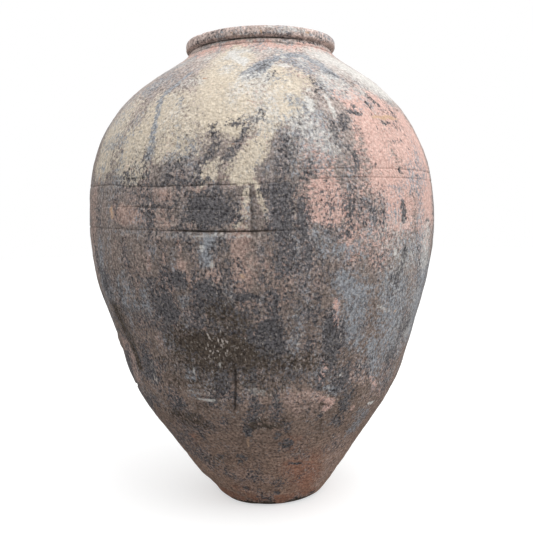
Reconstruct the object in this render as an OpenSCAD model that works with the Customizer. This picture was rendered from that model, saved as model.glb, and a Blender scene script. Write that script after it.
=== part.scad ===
// Tall hand-built clay jar for storing olives.
// A potter builds it from the floor up: a base disc, a steep foot, a wall, four belly
// coils, a shoulder, a collar and a rolled rim. Each piece of clay sits on the one below
// with a tongue in a groove, and all are round about the Z axis.
// Millimetres. The origin is on the floor, under the middle of the base.

/* [Overall] */
// Height from the floor to the top of the rim
jar_h = 893; // [860:1:960]
// Widest diameter, at the belly
belly_d = 674; // [620:1:740]
// Height of the widest point
belly_z = 551; // [530:1:580]
// Thickness of the clay wall
wall = 20; // [14:0.5:26]

/* [Foot and lower wall] */
// Diameter of the flat underside, before its edge was worn
base_d = 220; // [180:1:260]
// Length worn off each side of the base's edge
base_wear = 12; // [4:0.5:18]
// Thickness of the base disc
base_t = 30; // [22:1:40]
// Diameter where the steep foot turns into the wall
bend_d = 535; // [490:1:560]
// Height of that turn
bend_z = 231; // [205:1:255]
// Length of wall that the turn takes on each side
bend_round = 57; // [30:1:80]
// Lean of the wall above the turn, from upright, in degrees
wall_lean = 14; // [10:0.5:20]
// How firmly the wall keeps that lean as it rises
wall_pull = 103; // [60:1:130]
// How firmly the wall stands upright below the widest point
belly_pull = 120; // [80:1:150]

/* [Shoulder and neck] */
// How firmly the shoulder stands upright above the widest point
shoulder_pull = 239; // [200:1:260]
// How firmly the shoulder keeps its lean below the neck
neck_pull = 44; // [20:1:70]
// Lean of the shoulder as it meets the neck, from upright, in degrees
neck_lean = 32; // [20:1:50]
// Diameter of the neck, where the shoulder ends
neck_d = 290; // [276:1:310]
// Height of the collar between the shoulder and the rim
collar_h = 10; // [6:0.5:16]
// Diameter of the hollow under the rim
cove_d = 278; // [264:1:286]

/* [Rim] */
// Height of the rolled rim
rim_h = 21; // [16:0.5:30]
// Outer diameter of the rolled rim
rim_d = 294; // [288:1:310]
// Diameter of the mouth
mouth_d = 236; // [216:1:250]
// Roundness of the rim's upper outer edge
rim_round = 9; // [4:0.5:12]
// Roundness of the rim's lower outer edge
rim_lip = 5; // [2:0.5:7]
// Roundness of the edge that leads into the mouth
mouth_round = 8; // [3:0.5:10]

/* [Seams] */
// Height of the lowest seam of the belly coils
seam_z = 531; // [500:1:550]
// Height of the first belly coil
coil_1_h = 34; // [20:1:40]
// Height of the second belly coil
coil_2_h = 20; // [14:1:30]
// Height of the third belly coil
coil_3_h = 21; // [14:1:30]
// Height of the fourth belly coil
coil_4_h = 20; // [14:1:30]
// Depth of the open groove along the lowest seam
deep_groove = 4; // [1:0.5:6]
// Depth of the fine grooves along the other seams
fine_groove = 2; // [0.5:0.5:4]
// Width of a groove for each millimetre of its depth
groove_flare = 1.5; // [1:0.1:2.5]
// Width of the tongue on top of each piece
tongue_w = 6; // [4:0.5:8]
// Height of that tongue
tongue_h = 4; // [2:0.5:6]
// Slip-filled gap around a tongue in its groove
tongue_gap = 0.3; // [0.1:0.1:0.6]

/* [Hidden] */
$fn = 180;
BEND_STEPS = 10;  // bands in the turn of the wall and in each rounded edge
WALL_STEPS = 24;  // bands between the turn and the widest point
SHOULDER_STEPS = 36;  // bands between the widest point and the neck
OVER = 1;  // how far a cut runs past the face that it opens

base_r = base_d / 2;
belly_r = belly_d / 2;
neck_r = neck_d / 2;
cove_r = cove_d / 2;
rim_r = rim_d / 2;
mouth_r = mouth_d / 2;
rim_z = jar_h - rim_h;
neck_z = rim_z - collar_h;
coil_z = [seam_z, seam_z + coil_1_h, seam_z + coil_1_h + coil_2_h,
          seam_z + coil_1_h + coil_2_h + coil_3_h,
          seam_z + coil_1_h + coil_2_h + coil_3_h + coil_4_h];

UP = [0, 1];
OUT = [1, 0];
// Direction of a line that leans outwards from upright by a number of degrees
function lean(degrees) = [sin(degrees), cos(degrees)];
// Point at share t of the smooth curve that the control points p pull
function bezier(p, t) = len(p) == 1 ? p[0]
    : bezier([for (i = [0:len(p) - 2]) (1 - t) * p[i] + t * p[i + 1]], t);
// Points of that curve, its first end left out
function curve(p, steps) = [for (i = [1:steps]) bezier(p, i / steps)];
// Points that round a corner over one length on both of its sides
function rounded(corner, dir_in, dir_out, size) = concat([corner - size * dir_in],
    curve([corner - size * dir_in, corner, corner + size * dir_out], BEND_STEPS));
// Left-hand unit normal of the line at point i, which points into the clay
function inward(p, i) =
    let (t = p[min(i + 1, len(p) - 1)] - p[max(i - 1, 0)]) [-t[1], t[0]] / norm(t);
// The same line, set back into the clay
function set_back(p, d) = [for (i = [0:len(p) - 1]) p[i] + d * inward(p, i)];
// Radius of a line of points at height z
function radius_at(p, z) = lookup(z, [for (q = p) [q[1], q[0]]]);

bend = [bend_d / 2, bend_z];
foot_dir = (bend - [base_r, 0]) / norm(bend - [base_r, 0]);
wall_start = bend + bend_round * lean(wall_lean);
belly = [belly_r, belly_z];
neck = [neck_r, neck_z];

// Outer line of the body, from the floor to the neck
body_line = concat(
    [[base_r, 0]],
    rounded(bend, foot_dir, lean(wall_lean), bend_round),
    curve([wall_start, wall_start + wall_pull * lean(wall_lean),
           belly - belly_pull * UP, belly], WALL_STEPS),
    curve([belly, belly + shoulder_pull * UP,
           neck - neck_pull * lean(-neck_lean), neck], SHOULDER_STEPS));
// Outer line of the collar and the rolled rim, up from the neck
rim_line = concat(
    [[cove_r, rim_z]],
    rounded([rim_r, rim_z + fine_groove], OUT, UP, rim_lip),
    rounded([rim_r, jar_h], UP, -OUT, rim_round));
cavity_line = set_back(body_line, wall);
cavity_top = cavity_line[len(cavity_line) - 1];

// Radius of the middle of the clay at height z, where the tongues stand
function clay_middle(z) = let (
    outer = z > neck_z ? cove_r : radius_at(body_line, z),
    inner = z > belly_z ? max(radius_at(cavity_line, z), mouth_r) : radius_at(cavity_line, z))
    (outer + inner) / 2;

// Half section of the whole jar, filled in
module jar_solid_2d() {
    polygon(concat([[0, 0]], body_line, rim_line, [[0, jar_h]]));
}

// Half section of the space inside it
module cavity_2d() {
    polygon(concat([[0, base_t], [radius_at(cavity_line, base_t), base_t]],
                   [for (p = cavity_line) if (p[1] > base_t) p],
                   [cavity_top + cavity_top[0] / sin(neck_lean) * lean(-neck_lean)]));
    polygon(concat([[0, belly_z], [mouth_r, belly_z]],
                   rounded([mouth_r, jar_h], UP, OUT, mouth_round),
                   [[mouth_r + mouth_round, jar_h + OVER], [0, jar_h + OVER]]));
}

// Half section of the tongue on the clay at height z, or of its groove with a gap
module tongue_2d(z, gap) {
    translate([clay_middle(z) - tongue_w / 2 - gap, z - OVER])
        square([tongue_w + 2 * gap, tongue_h + OVER + gap]);
}

// Half section of the groove that runs round the outside at height z
module seam_groove_2d(z, depth) {
    r = radius_at(body_line, z);
    half = (depth + OVER) * groove_flare / 2;
    polygon([[r - depth, z], [r + OVER, z - half], [r + OVER, z + half]]);
}

// One piece of clay between two heights, with a groove of some depth along each edge
module clay_ring(z_low, z_high, low_groove = 0, high_groove = 0) {
    rotate_extrude()
        difference() {
            union() {
                intersection() {
                    difference() {
                        jar_solid_2d();
                        cavity_2d();
                    }
                    translate([0, z_low])
                        square([belly_d, z_high - z_low]);
                }
                if (z_high < jar_h)
                    tongue_2d(z_high, 0);
            }
            tongue_2d(z_low, tongue_gap);
            if (low_groove > 0)
                seam_groove_2d(z_low, low_groove);
            if (high_groove > 0)
                seam_groove_2d(z_high, high_groove);
        }
}

// Flat disc that the jar stands on, its lower edge worn round
module base_disc() {
    color("#7f6152")
        rotate_extrude()
            union() {
                polygon(concat([[0, 0]],
                               rounded([base_r, 0], OUT, foot_dir, base_wear),
                               [[radius_at(body_line, base_t), base_t], [0, base_t]]));
                tongue_2d(base_t, 0);
            }
}

// Steep foot that opens from the base to the turn of the wall
module foot_cone() {
    color("#6f5d53")
        clay_ring(base_t, bend_z);
}

// Tall wall from the turn up to the lowest belly seam
module lower_wall() {
    color("#5f5a5a")
        clay_ring(bend_z, seam_z, 0, deep_groove);
}

// Belly coil number n, counted from the lowest as 0
module belly_coil(n) {
    color(["#6d6665", "#857568", "#79706c", "#8d7a6b"][n])
        clay_ring(coil_z[n], coil_z[n + 1], n == 0 ? deep_groove : fine_groove, fine_groove);
}

// Shoulder that closes in from the belly to the neck
module shoulder() {
    color("#a58f78")
        clay_ring(coil_z[4], neck_z, fine_groove, fine_groove);
}

// Low collar with a hollow under the rim
module neck_collar() {
    color("#a58880")
        clay_ring(neck_z, rim_z, fine_groove, 0);
}

// Thick rolled rim round the mouth
module rim_roll() {
    color("#8b7468")
        clay_ring(rim_z, jar_h);
}

base_disc();
foot_cone();
lower_wall();
belly_coil(0);  // belly_coil_1
belly_coil(1);  // belly_coil_2
belly_coil(2);  // belly_coil_3
belly_coil(3);  // belly_coil_4
shoulder();
neck_collar();
rim_roll();
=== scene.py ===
# %% [markdown]
# # A tall clay olive jar
# The jar is one fired body that was built by hand in rings of clay. The drawing made in
# CAD gives ten clay pieces with exact seams. Here each of them gets the surface of the
# real one: the potter's unevenness, open seams, cracks and chips, and then the skin that
# the kiln fire and long use left, which is cream, salmon, soot and ash over brown clay.
# Everything is in metres, and the origin is on the floor under the middle of the base.

# %% The drawing as a fixed frame
import math

import bmesh
import bpy
import numpy as np
from mathutils import Matrix, Vector


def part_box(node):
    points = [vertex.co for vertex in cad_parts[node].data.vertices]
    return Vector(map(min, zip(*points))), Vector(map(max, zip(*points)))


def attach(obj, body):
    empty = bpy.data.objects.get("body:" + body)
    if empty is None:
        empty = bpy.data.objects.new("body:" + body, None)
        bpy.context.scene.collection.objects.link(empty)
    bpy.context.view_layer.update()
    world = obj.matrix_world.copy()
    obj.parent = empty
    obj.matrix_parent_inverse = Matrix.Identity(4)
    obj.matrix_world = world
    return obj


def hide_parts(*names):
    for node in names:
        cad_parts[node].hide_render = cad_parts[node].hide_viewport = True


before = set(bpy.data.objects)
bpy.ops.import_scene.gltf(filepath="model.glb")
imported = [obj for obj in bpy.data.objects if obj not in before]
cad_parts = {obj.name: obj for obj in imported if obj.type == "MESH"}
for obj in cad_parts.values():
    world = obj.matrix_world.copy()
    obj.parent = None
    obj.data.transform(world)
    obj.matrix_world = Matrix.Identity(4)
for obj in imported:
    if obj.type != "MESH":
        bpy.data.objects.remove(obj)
scene = bpy.context.scene
scene.view_settings.view_transform = "Standard"
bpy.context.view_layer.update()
print("pieces in the drawing:", sorted(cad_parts))

# %% [markdown]
# ## The camera
# The picture was taken from about the height of the belly, a little over a metre away,
# with the camera tipped slightly down and a touch out of level. A lens length and a
# place that give the same outline are found by drawing the outline and comparing it,
# which is why the numbers are not round.

# %% Camera
LENS = 47.28        # millimetres on a 36 mm wide sensor
EYE = Vector((0.0067, -1.4116, 0.5577))
TIP = 85.7          # degrees from straight down
ROLL = -1.3

camera = bpy.data.objects.new("camera", bpy.data.cameras.new("camera"))
scene.collection.objects.link(camera)
camera.data.lens = LENS
camera.data.sensor_width = 36
camera.matrix_world = (Matrix.Translation(EYE)
                       @ Matrix.Rotation(math.radians(TIP), 4, "X")
                       @ Matrix.Rotation(math.radians(ROLL), 4, "Z"))
scene.camera = camera
print("camera stands", round(-EYE.y, 2), "m in front of the jar's middle")

# %% [markdown]
# ## Light
# Open shade lights the jar in the picture: a bright sky above, little from below, and no
# hard shadow. A world that is bright overhead and dim underfoot does that. The camera
# itself sees plain white, so the background stays clean without any more light on the
# clay. Shiny and clear things would see the same white, for which the glossy and
# transmission rays are added.

# %% World
SKY = 1.12          # strength straight overhead
HORIZON = 0.80
GROUND = 0.34       # strength from straight below

world = bpy.data.worlds.new("open_shade")
scene.world = world
world.use_nodes = True
tree = world.node_tree
tree.nodes.clear()


def node(tree, kind, **settings):
    """A new node in a tree. Settings are its own, or values of its sockets by name."""
    made = tree.nodes.new("ShaderNode" + kind)
    for name, value in settings.items():
        if hasattr(made, name):
            setattr(made, name, value)
        else:
            made.inputs[name.replace("_", " ")].default_value = value
    return made


direction = node(tree, "TexCoord")
split = node(tree, "SeparateXYZ")
height = node(tree, "MapRange", interpolation_type="SMOOTHSTEP")
height.inputs["From Min"].default_value = -1
brightness = node(tree, "ValToRGB")
ramp = brightness.color_ramp
ramp.elements[0].color = (GROUND, GROUND, GROUND, 1)
ramp.elements[1].color = (SKY, SKY, SKY, 1)
middle = ramp.elements.new(0.5)
middle.color = (HORIZON, HORIZON, HORIZON, 1)
light_path = node(tree, "LightPath")
seen = node(tree, "Math", operation="MAXIMUM")
seen_too = node(tree, "Math", operation="MAXIMUM")
sky = node(tree, "Background")
plain_white = node(tree, "Background", Color=(1, 1, 1, 1), Strength=1.0)
choose = node(tree, "MixShader")
world_out = node(tree, "OutputWorld")
link = tree.links.new
link(direction.outputs["Generated"], split.inputs[0])
link(split.outputs["Z"], height.inputs["Value"])
link(height.outputs["Result"], brightness.inputs["Fac"])
link(brightness.outputs["Color"], sky.inputs["Color"])
link(light_path.outputs["Is Camera Ray"], seen.inputs[0])
link(light_path.outputs["Is Glossy Ray"], seen.inputs[1])
link(seen.outputs[0], seen_too.inputs[0])
link(light_path.outputs["Is Transmission Ray"], seen_too.inputs[1])
link(seen_too.outputs[0], choose.inputs["Fac"])
link(sky.outputs[0], choose.inputs[1])
link(plain_white.outputs[0], choose.inputs[2])
link(choose.outputs[0], world_out.inputs["Surface"])
print("sky", SKY, "horizon", HORIZON, "ground", GROUND)

# %% [markdown]
# ## Two soft lamps and the floor
# One broad lamp overhead and towards the camera brightens the shoulder, and the floor
# catches a soft shadow under the foot. The floor is dark to the clay, so that it throws
# little light up, and pale to the camera, where a share of its colour glows.

# %% Lamps and floor


def soft_lamp(name, place, aim, size, watts):
    """A square lamp of some size in metres that points from one place at another."""
    lamp = bpy.data.objects.new(name, bpy.data.lights.new(name, "AREA"))
    lamp.data.size = size
    lamp.data.energy = watts
    lamp.location = place
    lamp.rotation_mode = "QUATERNION"
    lamp.rotation_quaternion = (Vector(aim) - Vector(place)).to_track_quat("-Z", "Y")
    scene.collection.objects.link(lamp)
    return lamp


soft_lamp("overhead_lamp", (1.0, -1.2, 2.9), (0, 0, 0.6), 2.4, 34)
soft_lamp("right_lamp", (2.8, -1.2, 1.3), (0, 0, 0.5), 2.2, 22)

floor_mesh = bmesh.new()
bmesh.ops.create_circle(floor_mesh, cap_ends=True, segments=96, radius=9)
bmesh.ops.translate(floor_mesh, verts=floor_mesh.verts, vec=(0, 0, -0.0004))
floor = bpy.data.objects.new("floor", bpy.data.meshes.new("floor"))
floor_mesh.to_mesh(floor.data)
floor_mesh.free()
scene.collection.objects.link(floor)

floor_paint = bpy.data.materials.new("pale_floor")
floor_paint.use_nodes = True
tree = floor_paint.node_tree
tree.nodes.clear()
link = tree.links.new
light_path = node(tree, "LightPath")
matte_dark = node(tree, "BsdfDiffuse", Color=(0.30, 0.30, 0.30, 1))
matte_pale = node(tree, "BsdfDiffuse", Color=(0.62, 0.62, 0.62, 1))
glow = node(tree, "Emission", Color=(1, 1, 1, 1), Strength=0.5)
pale = node(tree, "AddShader")
choose = node(tree, "MixShader")
out = node(tree, "OutputMaterial")
link(matte_pale.outputs[0], pale.inputs[0])
link(glow.outputs[0], pale.inputs[1])
link(light_path.outputs["Is Camera Ray"], choose.inputs["Fac"])
link(matte_dark.outputs[0], choose.inputs[1])
link(pale.outputs[0], choose.inputs[2])
link(choose.outputs[0], out.inputs["Surface"])
floor.data.materials.append(floor_paint)
print("floor is", 18, "m across")

# %% [markdown]
# ## The section line
# A potter sees a jar as one line that is turned about an axis. These are the same
# values as in the drawing: a steep foot, a rounded turn, a wall that swings out to the
# belly, and a shoulder that closes to the neck. A curve with four control points draws
# each long swing, because two of the points hold the direction at its ends.

# %% Section line
WALL = 0.020
BASE_R, BASE_T, BASE_WEAR = 0.110, 0.030, 0.012
BEND, BEND_ROUND = np.array([0.2675, 0.231]), 0.057
BELLY, NECK = np.array([0.337, 0.551]), np.array([0.145, 0.862])
COVE_R, RIM_R, MOUTH_R = 0.139, 0.147, 0.118
RIM_Z, JAR_H = 0.872, 0.893
RIM_ROUND, RIM_LIP, MOUTH_ROUND = 0.009, 0.005, 0.008
UP, OUT = np.array([0.0, 1.0]), np.array([1.0, 0.0])


def lean(degrees):
    """Direction that leans outwards from upright by some degrees."""
    return np.array([math.sin(math.radians(degrees)), math.cos(math.radians(degrees))])


def swing(points, steps):
    """Points on the smooth curve that the control points pull, its first end left out."""
    found = []
    for t in np.linspace(0, 1, steps + 1)[1:]:
        p = list(points)
        while len(p) > 1:
            p = [(1 - t) * a + t * b for a, b in zip(p, p[1:])]
        found.append(p[0])
    return found


def rounded(corner, way_in, way_out, size):
    """A corner rounded over one length on both of its sides."""
    start = corner - size * way_in
    return [start] + swing([start, corner, corner + size * way_out], 16)


foot_way = (BEND - [BASE_R, 0]) / np.linalg.norm(BEND - [BASE_R, 0])
wall_start = BEND + BEND_ROUND * lean(14)
body_line = np.array(
    [[BASE_R, 0]] + rounded(BEND, foot_way, lean(14), BEND_ROUND)
    + swing([wall_start, wall_start + 0.103 * lean(14), BELLY - 0.120 * UP, BELLY], 120)
    + swing([BELLY, BELLY + 0.239 * UP, NECK - 0.044 * lean(-32), NECK], 180))
along = np.gradient(body_line, axis=0)
along /= np.linalg.norm(along, axis=1)[:, None]
hollow_line = body_line + WALL * np.stack([-along[:, 1], along[:, 0]], 1)
print("the line holds", len(body_line), "points and is",
      round(float(np.linalg.norm(np.diff(body_line, axis=0), axis=1).sum()), 3), "m long")


def outer_r(z):
    return np.interp(z, body_line[:, 1], body_line[:, 0])


def inner_r(z):
    inside = np.interp(z, hollow_line[:, 1], hollow_line[:, 0])
    above = hollow_line[-1, 0] - (z - hollow_line[-1, 1]) * math.tan(math.radians(32))
    return np.where(z > BELLY[1], np.maximum(np.where(z > hollow_line[-1, 1], above, inside),
                                             MOUTH_R), inside)


# %% [markdown]
# ## From section to ring
# Each clay piece is a closed half section that is spun once round the axis. Only its
# corners are written down. An edge that follows the jar's line is divided with
# `bisect_edges`, and its new points are slid onto the line, close together near a
# seam, where the surface dips, and wider apart in between. A tongue on top of each piece
# stands in a groove of the next one, as in the drawing.

# %% Section and spin
ROUND_STEPS = 720
FINE, PLAIN, COARSE = 0.0013, 0.0031, 0.012
NEAR_SEAM = 0.009
TONGUE_HALF, TONGUE_H, TONGUE_GAP = 0.003, 0.004, 0.0003


def clay_middle(z):
    """Radius of the middle of the clay at a seam, where the tongue stands."""
    outer = COVE_R if z > NECK[1] + 0.001 else float(outer_r(z))
    inner = float(np.interp(z, hollow_line[:, 1], hollow_line[:, 0]))
    return (outer + (max(inner, MOUTH_R) if z > BELLY[1] else inner)) / 2


def slide_onto(line, edge_start, edge_end, points):
    """Moves points of a straight edge to the same shares of the line's length."""
    low, high = sorted((edge_start[1], edge_end[1]))
    inside = line[(line[:, 1] > low + 1e-6) & (line[:, 1] < high - 1e-6)]
    if edge_start[1] > edge_end[1]:
        inside = inside[::-1]
    path = np.vstack([edge_start, inside, edge_end])
    length = np.append(0, np.cumsum(np.linalg.norm(np.diff(path, axis=0), axis=1)))
    chord = math.dist(edge_start, edge_end)
    for v in points:
        share = math.dist(edge_start, (v.co.x, v.co.z)) / chord * length[-1]
        v.co.x, v.co.z = (float(np.interp(share, length, path[:, k])) for k in (0, 1))


def run_length(line, a, b):
    low, high = sorted((a[1], b[1]))
    inside = line[(line[:, 1] > low) & (line[:, 1] < high)]
    path = np.vstack([a, inside if a[1] < b[1] else inside[::-1], b])
    return float(np.linalg.norm(np.diff(path, axis=0), axis=1).sum())


def half_section(corners, closed=True):
    """A wire in the XZ plane. Each corner is (r, z, line to follow or None, point spacing)."""
    shape = bmesh.new()
    verts = [shape.verts.new((r, 0, z)) for r, z, _, _ in corners]
    ends = list(zip(corners, corners[1:] + (corners[:1] if closed else [])))
    edges = [shape.edges.new(pair) for pair in zip(verts, verts[1:] + (verts[:1] if closed else []))]
    for edge, (here, there) in zip(edges, ends):
        line, spacing = here[2:]
        a, b = here[:2], there[:2]
        path = np.array([a, b]) if line is None else line
        cuts = round(run_length(path, a, b) / spacing) - 1 if spacing else 0
        if cuts > 0:
            made = bmesh.ops.bisect_edges(shape, edges=[edge], cuts=cuts)
            new = [v for v in made["geom_split"] if isinstance(v, bmesh.types.BMVert)]
            if line is not None:
                slide_onto(path, a, b, new)
    return shape


SHARP = math.radians(38)


def spun(shape, name):
    """Turns the wire once round the Z axis into a closed skin with its creases marked.
    A sixteenth is spun, and the rest are turned copies, since one long spin is slow."""
    bmesh.ops.spin(shape, geom=shape.verts[:] + shape.edges[:], cent=(0, 0, 0), axis=(0, 0, 1),
                   angle=2 * math.pi / 16, steps=ROUND_STEPS // 16, use_merge=False)
    for times in (1, 2, 4, 8):
        copy = bmesh.ops.duplicate(shape, geom=shape.verts[:] + shape.edges[:] + shape.faces[:])
        bmesh.ops.rotate(shape, verts=[v for v in copy["geom"] if isinstance(v, bmesh.types.BMVert)],
                         cent=(0, 0, 0), matrix=Matrix.Rotation(2 * math.pi / 16 * times, 3, "Z"))
    bmesh.ops.remove_doubles(shape, verts=shape.verts, dist=2e-6)
    bmesh.ops.recalc_face_normals(shape, faces=shape.faces)
    for face in shape.faces:
        face.smooth = True
    for edge in shape.edges:
        edge.smooth = edge.calc_face_angle(0) < SHARP
    mesh = bpy.data.meshes.new(name)
    shape.to_mesh(mesh)
    open_edges = sum(not e.is_manifold for e in shape.edges)
    shape.free()
    piece = bpy.data.objects.new(name, mesh)
    scene.collection.objects.link(piece)
    print(name, len(mesh.vertices), "points,", open_edges, "open edges")
    return piece


def outer_run(z_low, z_high):
    """Corners up the outside, dense near both seams."""
    stops = [z_low]
    if z_high - z_low > 3 * NEAR_SEAM:
        stops += [z_low + NEAR_SEAM, z_high - NEAR_SEAM]
        spaces = [FINE, PLAIN, FINE]
    else:
        spaces = [FINE]
    return [(float(outer_r(z)), z, body_line, gap) for z, gap in zip(stops, spaces)]


def tongue_on(z):
    m = clay_middle(z)
    return [(m + TONGUE_HALF, z, None, 0), (m + TONGUE_HALF, z + TONGUE_H, None, 0),
            (m - TONGUE_HALF, z + TONGUE_H, None, 0), (m - TONGUE_HALF, z, None, 0)]


def groove_at(z):
    m, half, top = clay_middle(z), TONGUE_HALF + TONGUE_GAP, z + TONGUE_H + TONGUE_GAP
    return [(m - half, z, None, 0), (m - half, top, None, 0),
            (m + half, top, None, 0), (m + half, z, None, 0)]


seams = {name: float(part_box(name)[0].z) for name in
         ["base_disc", "foot_cone", "lower_wall", "belly_coil_1", "belly_coil_2",
          "belly_coil_3", "belly_coil_4", "shoulder", "neck_collar", "rim_roll"]}
order = list(seams)
inner_line = np.array([(float(inner_r(z)), z) for z in np.linspace(BASE_T, RIM_Z, 800)])
pieces = {}
for name, above in zip(order[1:9], order[2:]):
    low, high = seams[name], seams[above]
    outside = ([(float(outer_r(low)), low, None, 0.0016)] if name == "neck_collar"
               else outer_run(low, high))
    top_r = COVE_R if name == "neck_collar" else float(outer_r(high))
    corners = (outside + [(top_r, high, None, 0.004)] + tongue_on(high)
               + [(float(inner_r(high)), high, inner_line, COARSE if high < 0.7 else 0.006),
                  (float(inner_r(low)), low, None, 0)] + groove_at(low))
    pieces[name] = spun(half_section(corners), name + "_clay")

corner = rounded(np.array([BASE_R, 0.0]), OUT, foot_way, BASE_WEAR)
edge_line = np.vstack([corner, [[float(outer_r(BASE_T)), BASE_T]]])
corners = ([(0, 0, None, 0.012)] + [(p[0], p[1], None, 0) for p in corner[:-1:2]]
           + [(corner[-1][0], corner[-1][1], body_line, FINE),
              (float(outer_r(BASE_T)), BASE_T, None, 0)]
           + tongue_on(BASE_T) + [(0.106, BASE_T, None, 0.012), (0, BASE_T, None, 0)])
pieces["base_disc"] = spun(half_section(corners, closed=False), "base_disc_clay")

lip = rounded(np.array([RIM_R, RIM_Z + 0.002]), OUT, UP, RIM_LIP)
bead = rounded(np.array([RIM_R, JAR_H]), UP, -OUT, RIM_ROUND)
throat = rounded(np.array([MOUTH_R, JAR_H]), OUT, -UP, MOUTH_ROUND)
corners = ([(COVE_R, RIM_Z, None, FINE)] + [(p[0], p[1], None, 0) for p in lip[::2]]
           + [(p[0], p[1], None, 0) for p in bead[::2]]
           + [(p[0], p[1], None, 0.0) for p in rounded(np.array([MOUTH_R, JAR_H]), -OUT, -UP,
                                                       MOUTH_ROUND)[::2]]
           + [(MOUTH_R, RIM_Z, None, 0)] + groove_at(RIM_Z))
corners[len(lip[::2])] = corners[len(lip[::2])][:3] + (FINE,)
pieces["rim_roll"] = spun(half_section(corners), "rim_roll_clay")
corners_all = {name: len(piece.data.loops) for name, piece in pieces.items()}
print("triangles:", {n: sum(len(p.vertices) - 2 for p in pieces[n].data.polygons) for n in order})

# %% [markdown]
# ## Smooth randomness
# Clay that was worked by hand is never perfectly even, and nothing on it repeats. A box
# of random numbers, blended smoothly from cell to cell, gives such unevenness at any
# size. It is seeded, so the jar comes out the same on every run. NumPy works on all the
# points of a piece at once, which is far quicker than one point after another.

# %% Cloud of smooth random numbers


def cloud(points, size, seed):
    """Smooth random numbers from about -1 to 1 that change over a size in metres."""
    numbers = np.random.default_rng(seed).uniform(-1, 1, (32, 32, 32))
    place = points / np.asarray(size)
    cell = np.floor(place).astype(int)
    share = place - cell
    share = share * share * (3 - 2 * share)
    total = np.zeros(len(points))
    for corner in np.ndindex(2, 2, 2):
        weight = np.prod(np.where(corner, share, 1 - share), axis=1)
        i, j, k = ((cell + corner) % 32).T
        total += weight * numbers[i, j, k]
    return total


def along_round(table, azimuth):
    """A value that changes round the jar, from a table of (azimuth, value)."""
    table = np.array(table, float)
    return np.interp(azimuth, table[:, 0], table[:, 1])


# %% [markdown]
# ## Where the seams show
# The seams are where one ring of clay was pressed onto the last. The potter smeared
# them shut, and they opened again in places, in lines that wander up and down. For each
# seam one table holds its height round the jar and another the depth of the crack.
# Azimuth is in degrees, 0 towards the camera and 90 to its right; the rest is in mm.

# %% Seams
SEAMS = {
    231: ([(-180, 231), (-60, 229), (0, 232), (60, 230), (180, 231)],
          [(-180, .3), (-90, .8), (-70, 1), (-50, .3), (0, .2), (180, .3)], (170, 290)),
    531: ([(-180, 529), (-120, 534), (-75, 541), (-60, 540), (-45, 538), (-30, 535),
           (-18, 533), (-8, 531), (5, 531), (60, 533), (120, 528), (180, 529)],
          [(-180, 1), (-140, 2.5), (-100, .5), (-75, 1), (-60, 1), (-26, 1.5), (-20, 3.8),
           (-2, 3.8), (4, 2), (10, .3), (60, .2), (100, .4), (130, 2), (160, 2.2), (180, 1)],
          (471, 565)),
    565: ([(-180, 566), (-60, 577), (-38, 574), (-20, 567), (0, 565), (180, 566)],
          [(-180, 0), (-60, 0), (-40, .9), (-20, 1.4), (-12, .8), (-6, 0), (100, 0),
           (120, .9), (150, .4), (180, 0)], (531, 585)),
    585: ([(-180, 586), (180, 586)],
          [(-180, .4), (-150, .8), (-130, 0), (-24, 0), (-20, 1), (-3, 1.2), (-1, 0),
           (150, 0), (180, .4)], (565, 606)),
    606: ([(-180, 606), (-75, 615), (-50, 613), (-40, 607), (-30, 605), (-8, 604),
           (0, 604), (10, 607), (15, 610), (25, 613), (50, 613), (90, 610), (180, 606)],
          [(-180, 1.2), (-75, 1), (-50, 1.3), (-30, 1.5), (-5, 1.4), (3, .8), (25, 1.2),
           (50, 1.2), (75, .8), (140, 1.6), (180, 1.2)], (585, 626)),
    626: ([(-180, 628), (-60, 622), (-33, 620), (10, 626), (40, 628), (65, 627), (180, 628)],
          [(-180, .8), (-120, .3), (-60, .2), (-42, 1), (-33, 1), (-30, .1), (5, .1),
           (10, 1.3), (25, .9), (32, .5), (38, 1), (65, 1.2), (100, .6), (180, .8)],
          (606, 690)),
    862: ([(-180, 862), (-40, 863), (0, 863.5), (40, 861), (180, 862)],
          [(-180, 2), (-60, 1.6), (0, 2.4), (40, 2), (180, 2)], (846, 872)),
}
SEAM_WIDE = 1.3     # how far a crack's lips lie from its middle
print("seams that show:", sorted(SEAMS))
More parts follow.
